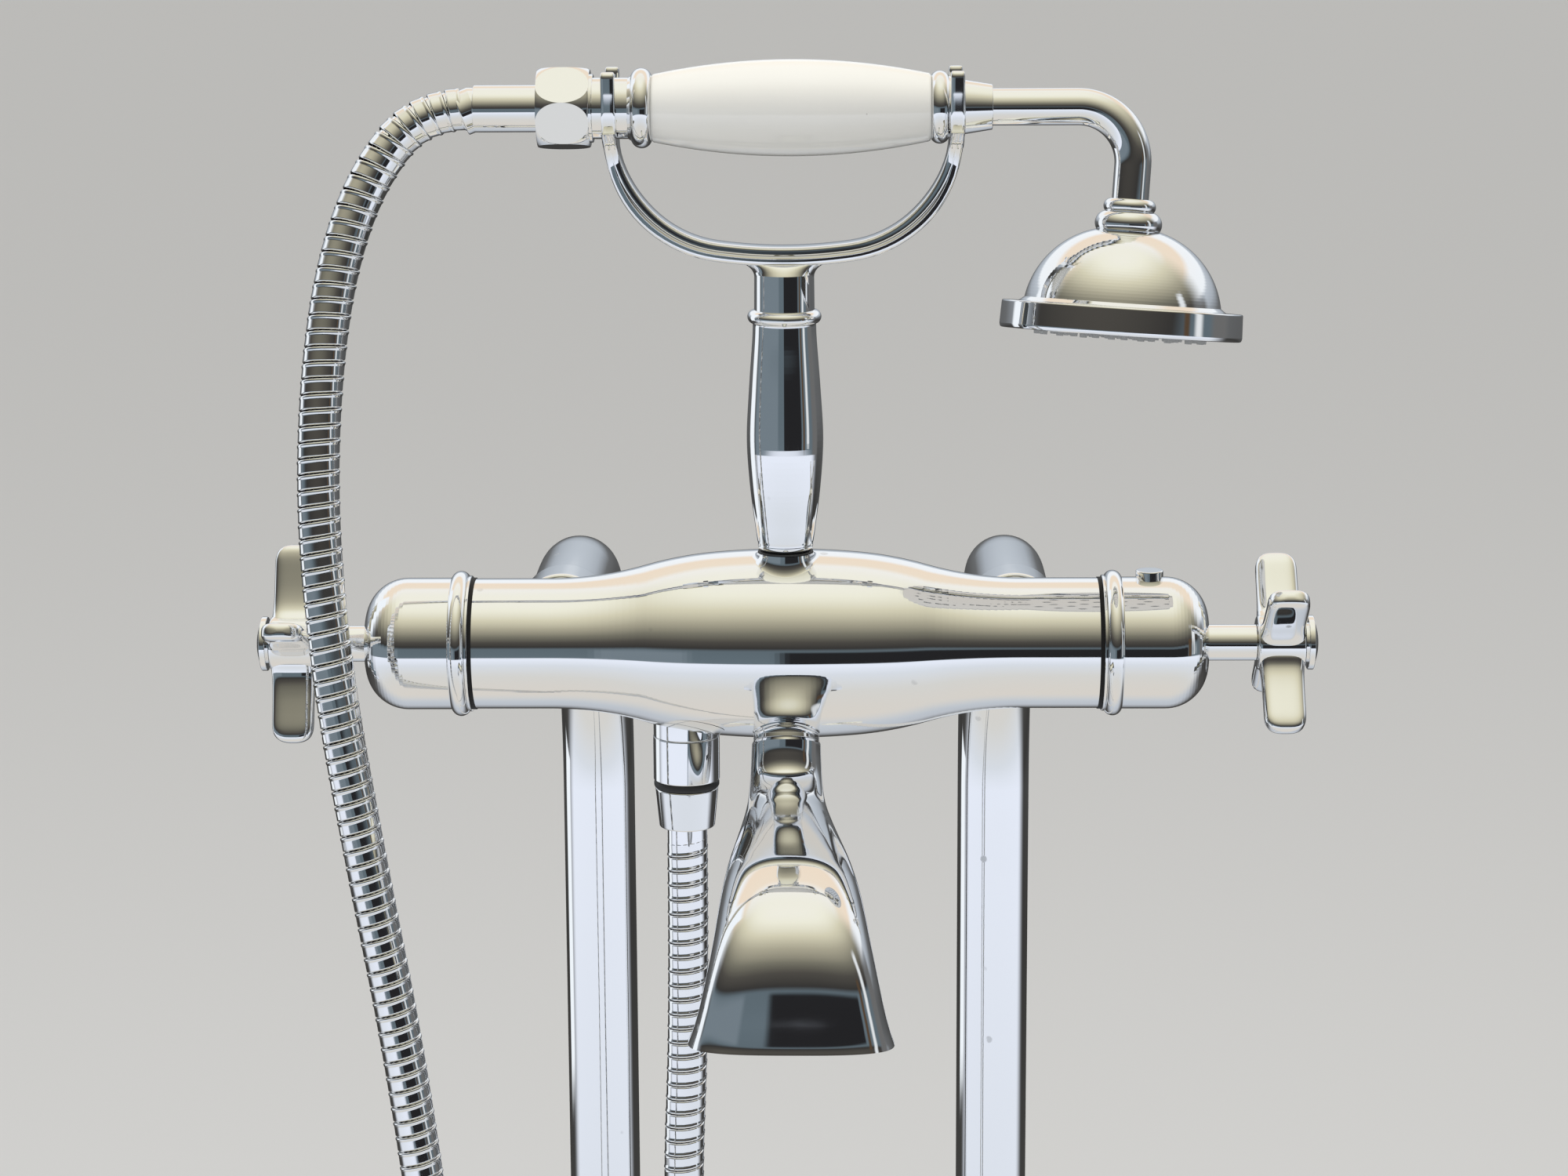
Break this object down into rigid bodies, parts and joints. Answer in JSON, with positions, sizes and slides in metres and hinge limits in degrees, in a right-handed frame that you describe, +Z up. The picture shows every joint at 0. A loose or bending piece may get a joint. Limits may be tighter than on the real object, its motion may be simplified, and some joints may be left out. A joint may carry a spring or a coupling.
{
  "type": "bath and shower mixer",
  "caption": "Floor-standing thermostatic bath and shower mixer with a telephone-style handset resting in a forked cradle, a ribbed metal hose, cross handles and a downturned bath spout.",
  "frame": {"origin": "on the floor, midway between the two pillars, at the centre of the four floor screws", "axes": "X along the mixer body towards the temperature handle, Y away from the user, Z up"},
  "size_m": [0.3416, 0.3762, 0.9671],
  "materials": {
    "chrome": "polished",
    "brass": "turned",
    "steel": "satin",
    "copper": "drawn tube",
    "porcelain": "white glaze",
    "rubber": "matt",
    "nozzle_rubber": "matt",
    "black_plastic": "matt",
    "plastic": "matt"
  },
  "bodies": {
    "mixer": {"mixer_body": "chrome", "bath_spout": "chrome", "flow_cartridge": "brass", "temperature_cartridge": "brass", "flow_slip_ring": "black_plastic", "temperature_slip_ring": "black_plastic", "cradle_seal": "rubber", "cradle_column": "chrome", "cradle_yoke": "chrome", "left_fork": "chrome", "right_fork": "chrome", "shower_outlet": "chrome", "check_valve": "plastic", "outlet_ring": "rubber", "hose_nut": "chrome", "hose_washer": "rubber", "lower_ferrule": "chrome", "shower_hose": "chrome", "left_inlet_washer": "rubber", "left_union_nut": "chrome", "left_union_tail": "brass", "left_leg": "chrome", "left_supply_pipe": "copper", "left_foot": "chrome", "right_inlet_washer": "rubber", "right_union_nut": "chrome", "right_union_tail": "brass", "right_leg": "chrome", "right_supply_pipe": "copper", "right_foot": "chrome"},
    "flow_control": {"flow_shroud": "chrome", "flow_bead_ring": "chrome", "flow_stem": "chrome", "flow_spindle": "brass", "flow_handle": "chrome", "flow_handle_screw": "steel", "flow_index_disc": "chrome"},
    "temperature_control": {"temperature_shroud": "chrome", "temperature_bead_ring": "chrome", "temperature_stem": "chrome", "temperature_spindle": "brass", "temperature_handle": "chrome", "temperature_handle_screw": "steel", "temperature_index_disc": "chrome", "button_spring": "steel"},
    "button": {"safety_button": "chrome"},
    "hose_end": {"upper_ferrule": "chrome"},
    "handset": {"handset_washer": "rubber", "hexagon_nut": "chrome", "handset_inlet": "chrome", "left_bead": "chrome", "right_bead": "chrome", "porcelain_grip": "porcelain", "grip_tube": "brass", "handset_outlet": "chrome", "gooseneck": "chrome", "rose_collar": "chrome", "rose_bell": "chrome", "nozzle_mat": "nozzle_rubber", "face_plate": "chrome"}
  },
  "joints": [
    {"name": "flow_turn", "type": "hinge", "parent": "mixer", "child": "flow_control", "pos_m": [-0.126, -0.2, 0.78], "axis": [1, 0, 0], "range_deg": [-90, 90]},
    {"name": "temperature_turn", "type": "hinge", "parent": "mixer", "child": "temperature_control", "pos_m": [0.126, -0.2, 0.78], "axis": [1, 0, 0], "range_deg": [-150, 60]},
    {"name": "button_press", "type": "slide", "parent": "temperature_control", "child": "button", "axis": [0, 0, -1], "range_m": [0, 0.0025], "stiffness_N_per_m": 800, "deforming": ["button_spring"]},
    {"name": "handset_lift", "type": "slide", "parent": "mixer", "child": "hose_end", "axis": [0, 0, 1], "range_m": [0, 0.04]},
    {"name": "handset_turn", "type": "hinge", "parent": "hose_end", "child": "handset", "pos_m": [0, -0.207, 0.9521], "axis": [1, 0, 0], "range_deg": [-90, 90]}
  ]
}
